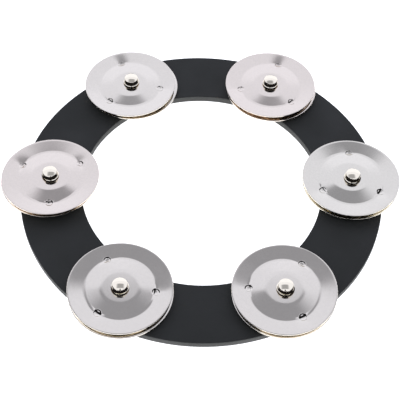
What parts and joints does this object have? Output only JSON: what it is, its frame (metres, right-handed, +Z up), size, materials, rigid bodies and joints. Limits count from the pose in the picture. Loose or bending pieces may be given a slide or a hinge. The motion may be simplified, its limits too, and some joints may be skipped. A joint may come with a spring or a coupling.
{
  "type": "jingle ring",
  "caption": "Flat black ring with pairs of steel jingles on pins around its top face; it lies on a hi-hat or cymbal and rattles when the cymbal is struck.",
  "frame": {"origin": "middle of the ring's underside, on the ring's axis", "axes": "+Z up along the ring's axis, out of the jingle side; +X through station 1, stations numbered counterclockwise seen from above"},
  "size_m": [0.1676, 0.1524, 0.0109],
  "materials": {
    "black_plastic": "matt black moulded plastic with a fine grain",
    "satin_steel": "satin stainless steel sheet",
    "polished_steel": "polished nickel-plated steel",
    "black_nylon": "black nylon"
  },
  "bodies": {
    "root": {"ring": "black_plastic", "post_1": "polished_steel", "head_1": "polished_steel", "post_2": "polished_steel", "head_2": "polished_steel", "post_3": "polished_steel", "head_3": "polished_steel", "post_4": "polished_steel", "head_4": "polished_steel", "post_5": "polished_steel", "head_5": "polished_steel", "post_6": "polished_steel", "head_6": "polished_steel"},
    "washer_1": {"washer_1": "black_nylon"},
    "lower_jingle_1": {"lower_jingle_1": "satin_steel"},
    "upper_jingle_1": {"upper_jingle_1": "satin_steel"},
    "washer_2": {"washer_2": "black_nylon"},
    "lower_jingle_2": {"lower_jingle_2": "satin_steel"},
    "upper_jingle_2": {"upper_jingle_2": "satin_steel"},
    "washer_3": {"washer_3": "black_nylon"},
    "lower_jingle_3": {"lower_jingle_3": "satin_steel"},
    "upper_jingle_3": {"upper_jingle_3": "satin_steel"},
    "washer_4": {"washer_4": "black_nylon"},
    "lower_jingle_4": {"lower_jingle_4": "satin_steel"},
    "upper_jingle_4": {"upper_jingle_4": "satin_steel"},
    "washer_5": {"washer_5": "black_nylon"},
    "lower_jingle_5": {"lower_jingle_5": "satin_steel"},
    "upper_jingle_5": {"upper_jingle_5": "satin_steel"},
    "washer_6": {"washer_6": "black_nylon"},
    "lower_jingle_6": {"lower_jingle_6": "satin_steel"},
    "upper_jingle_6": {"upper_jingle_6": "satin_steel"}
  },
  "joints": [
    {"name": "pair_spin_1", "type": "hinge", "parent": "root", "child": "washer_1", "pos_m": [0.06345, 0, 0.0038], "axis": [0, 0, 1], "continuous": true},
    {"name": "lower_jingle_slide_1", "type": "slide", "parent": "washer_1", "child": "lower_jingle_1", "axis": [0, 0, 1], "range_m": [0, 0.00014]},
    {"name": "upper_jingle_slide_1", "type": "slide", "parent": "lower_jingle_1", "child": "upper_jingle_1", "axis": [0, 0, 1], "range_m": [0, 0.00014]},
    {"name": "pair_spin_2", "type": "hinge", "parent": "root", "child": "washer_2", "pos_m": [0.03173, 0.05495, 0.0038], "axis": [0, 0, 1], "continuous": true},
    {"name": "lower_jingle_slide_2", "type": "slide", "parent": "washer_2", "child": "lower_jingle_2", "axis": [0, 0, 1], "range_m": [0, 0.00022]},
    {"name": "upper_jingle_slide_2", "type": "slide", "parent": "lower_jingle_2", "child": "upper_jingle_2", "axis": [0, 0, 1], "range_m": [0, 0.00022]},
    {"name": "pair_spin_3", "type": "hinge", "parent": "root", "child": "washer_3", "pos_m": [-0.03173, 0.05495, 0.0038], "axis": [0, 0, 1], "continuous": true},
    {"name": "lower_jingle_slide_3", "type": "slide", "parent": "washer_3", "child": "lower_jingle_3", "axis": [0, 0, 1], "range_m": [0, 0.00022]},
    {"name": "upper_jingle_slide_3", "type": "slide", "parent": "lower_jingle_3", "child": "upper_jingle_3", "axis": [0, 0, 1], "range_m": [0, 0.00022]},
    {"name": "pair_spin_4", "type": "hinge", "parent": "root", "child": "washer_4", "pos_m": [-0.06345, 0, 0.0038], "axis": [0, 0, 1], "continuous": true},
    {"name": "lower_jingle_slide_4", "type": "slide", "parent": "washer_4", "child": "lower_jingle_4", "axis": [0, 0, 1], "range_m": [0, 0.00016]},
    {"name": "upper_jingle_slide_4", "type": "slide", "parent": "lower_jingle_4", "child": "upper_jingle_4", "axis": [0, 0, 1], "range_m": [0, 0.00016]},
    {"name": "pair_spin_5", "type": "hinge", "parent": "root", "child": "washer_5", "pos_m": [-0.03173, -0.05495, 0.0038], "axis": [0, 0, 1], "continuous": true},
    {"name": "lower_jingle_slide_5", "type": "slide", "parent": "washer_5", "child": "lower_jingle_5", "axis": [0, 0, 1], "range_m": [0, 0.00012]},
    {"name": "upper_jingle_slide_5", "type": "slide", "parent": "lower_jingle_5", "child": "upper_jingle_5", "axis": [0, 0, 1], "range_m": [0, 0.00012]},
    {"name": "pair_spin_6", "type": "hinge", "parent": "root", "child": "washer_6", "pos_m": [0.03173, -0.05495, 0.0038], "axis": [0, 0, 1], "continuous": true},
    {"name": "lower_jingle_slide_6", "type": "slide", "parent": "washer_6", "child": "lower_jingle_6", "axis": [0, 0, 1], "range_m": [0, 0.00014]},
    {"name": "upper_jingle_slide_6", "type": "slide", "parent": "lower_jingle_6", "child": "upper_jingle_6", "axis": [0, 0, 1], "range_m": [0, 0.00014]}
  ]
}
